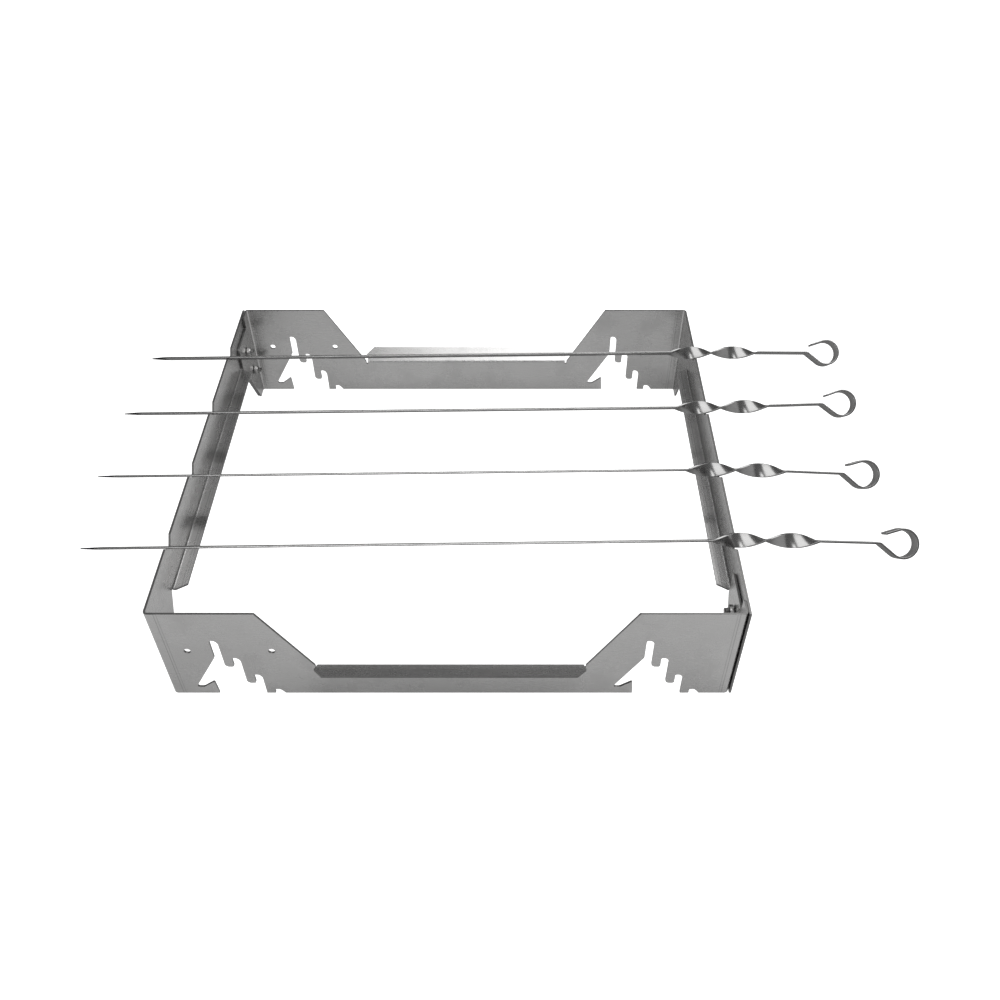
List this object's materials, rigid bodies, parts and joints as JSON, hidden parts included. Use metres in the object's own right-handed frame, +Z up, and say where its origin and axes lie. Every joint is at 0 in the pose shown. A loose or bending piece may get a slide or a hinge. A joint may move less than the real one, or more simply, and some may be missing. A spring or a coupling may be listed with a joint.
{
  "type": "skewer rack",
  "caption": "Rectangular bent-sheet rack that hooks over a grill, with notches holding flat skewers that have a twist and a ring handle.",
  "frame": {"origin": "under the middle of the whole object's box, on the plane its lower edges stand on", "axes": "+X along the skewers towards their rings, +Y from the front wall to the rear wall, +Z up"},
  "size_m": [0.5586, 0.3522, 0.096],
  "materials": {
    "satin_steel": "satin cold-rolled stainless sheet",
    "bright_steel": "bright polished stainless strip",
    "plated_steel": "bright plated fasteners"
  },
  "bodies": {
    "rack": {"frame_front_left": "satin_steel", "frame_rear_right": "satin_steel", "screw_rear_left_upper": "plated_steel", "screw_rear_left_lower": "plated_steel", "screw_front_right_upper": "plated_steel", "screw_front_right_lower": "plated_steel", "nut_rear_left_upper": "plated_steel", "nut_rear_left_lower": "plated_steel", "nut_front_right_upper": "plated_steel", "nut_front_right_lower": "plated_steel"},
    "spit_1": {"skewer_1": "bright_steel"},
    "spit_2": {"skewer_2": "bright_steel"},
    "spit_3": {"skewer_3": "bright_steel"},
    "spit_4": {"skewer_4": "bright_steel"}
  },
  "joints": [
    {"name": "spit_1_lift", "type": "slide", "parent": "rack", "child": "spit_1", "axis": [0, 0, 1], "range_m": [0, 0.06]},
    {"name": "spit_2_lift", "type": "slide", "parent": "rack", "child": "spit_2", "axis": [0, 0, 1], "range_m": [0, 0.06]},
    {"name": "spit_3_lift", "type": "slide", "parent": "rack", "child": "spit_3", "axis": [0, 0, 1], "range_m": [0, 0.06]},
    {"name": "spit_4_lift", "type": "slide", "parent": "rack", "child": "spit_4", "axis": [0, 0, 1], "range_m": [0, 0.06]}
  ]
}
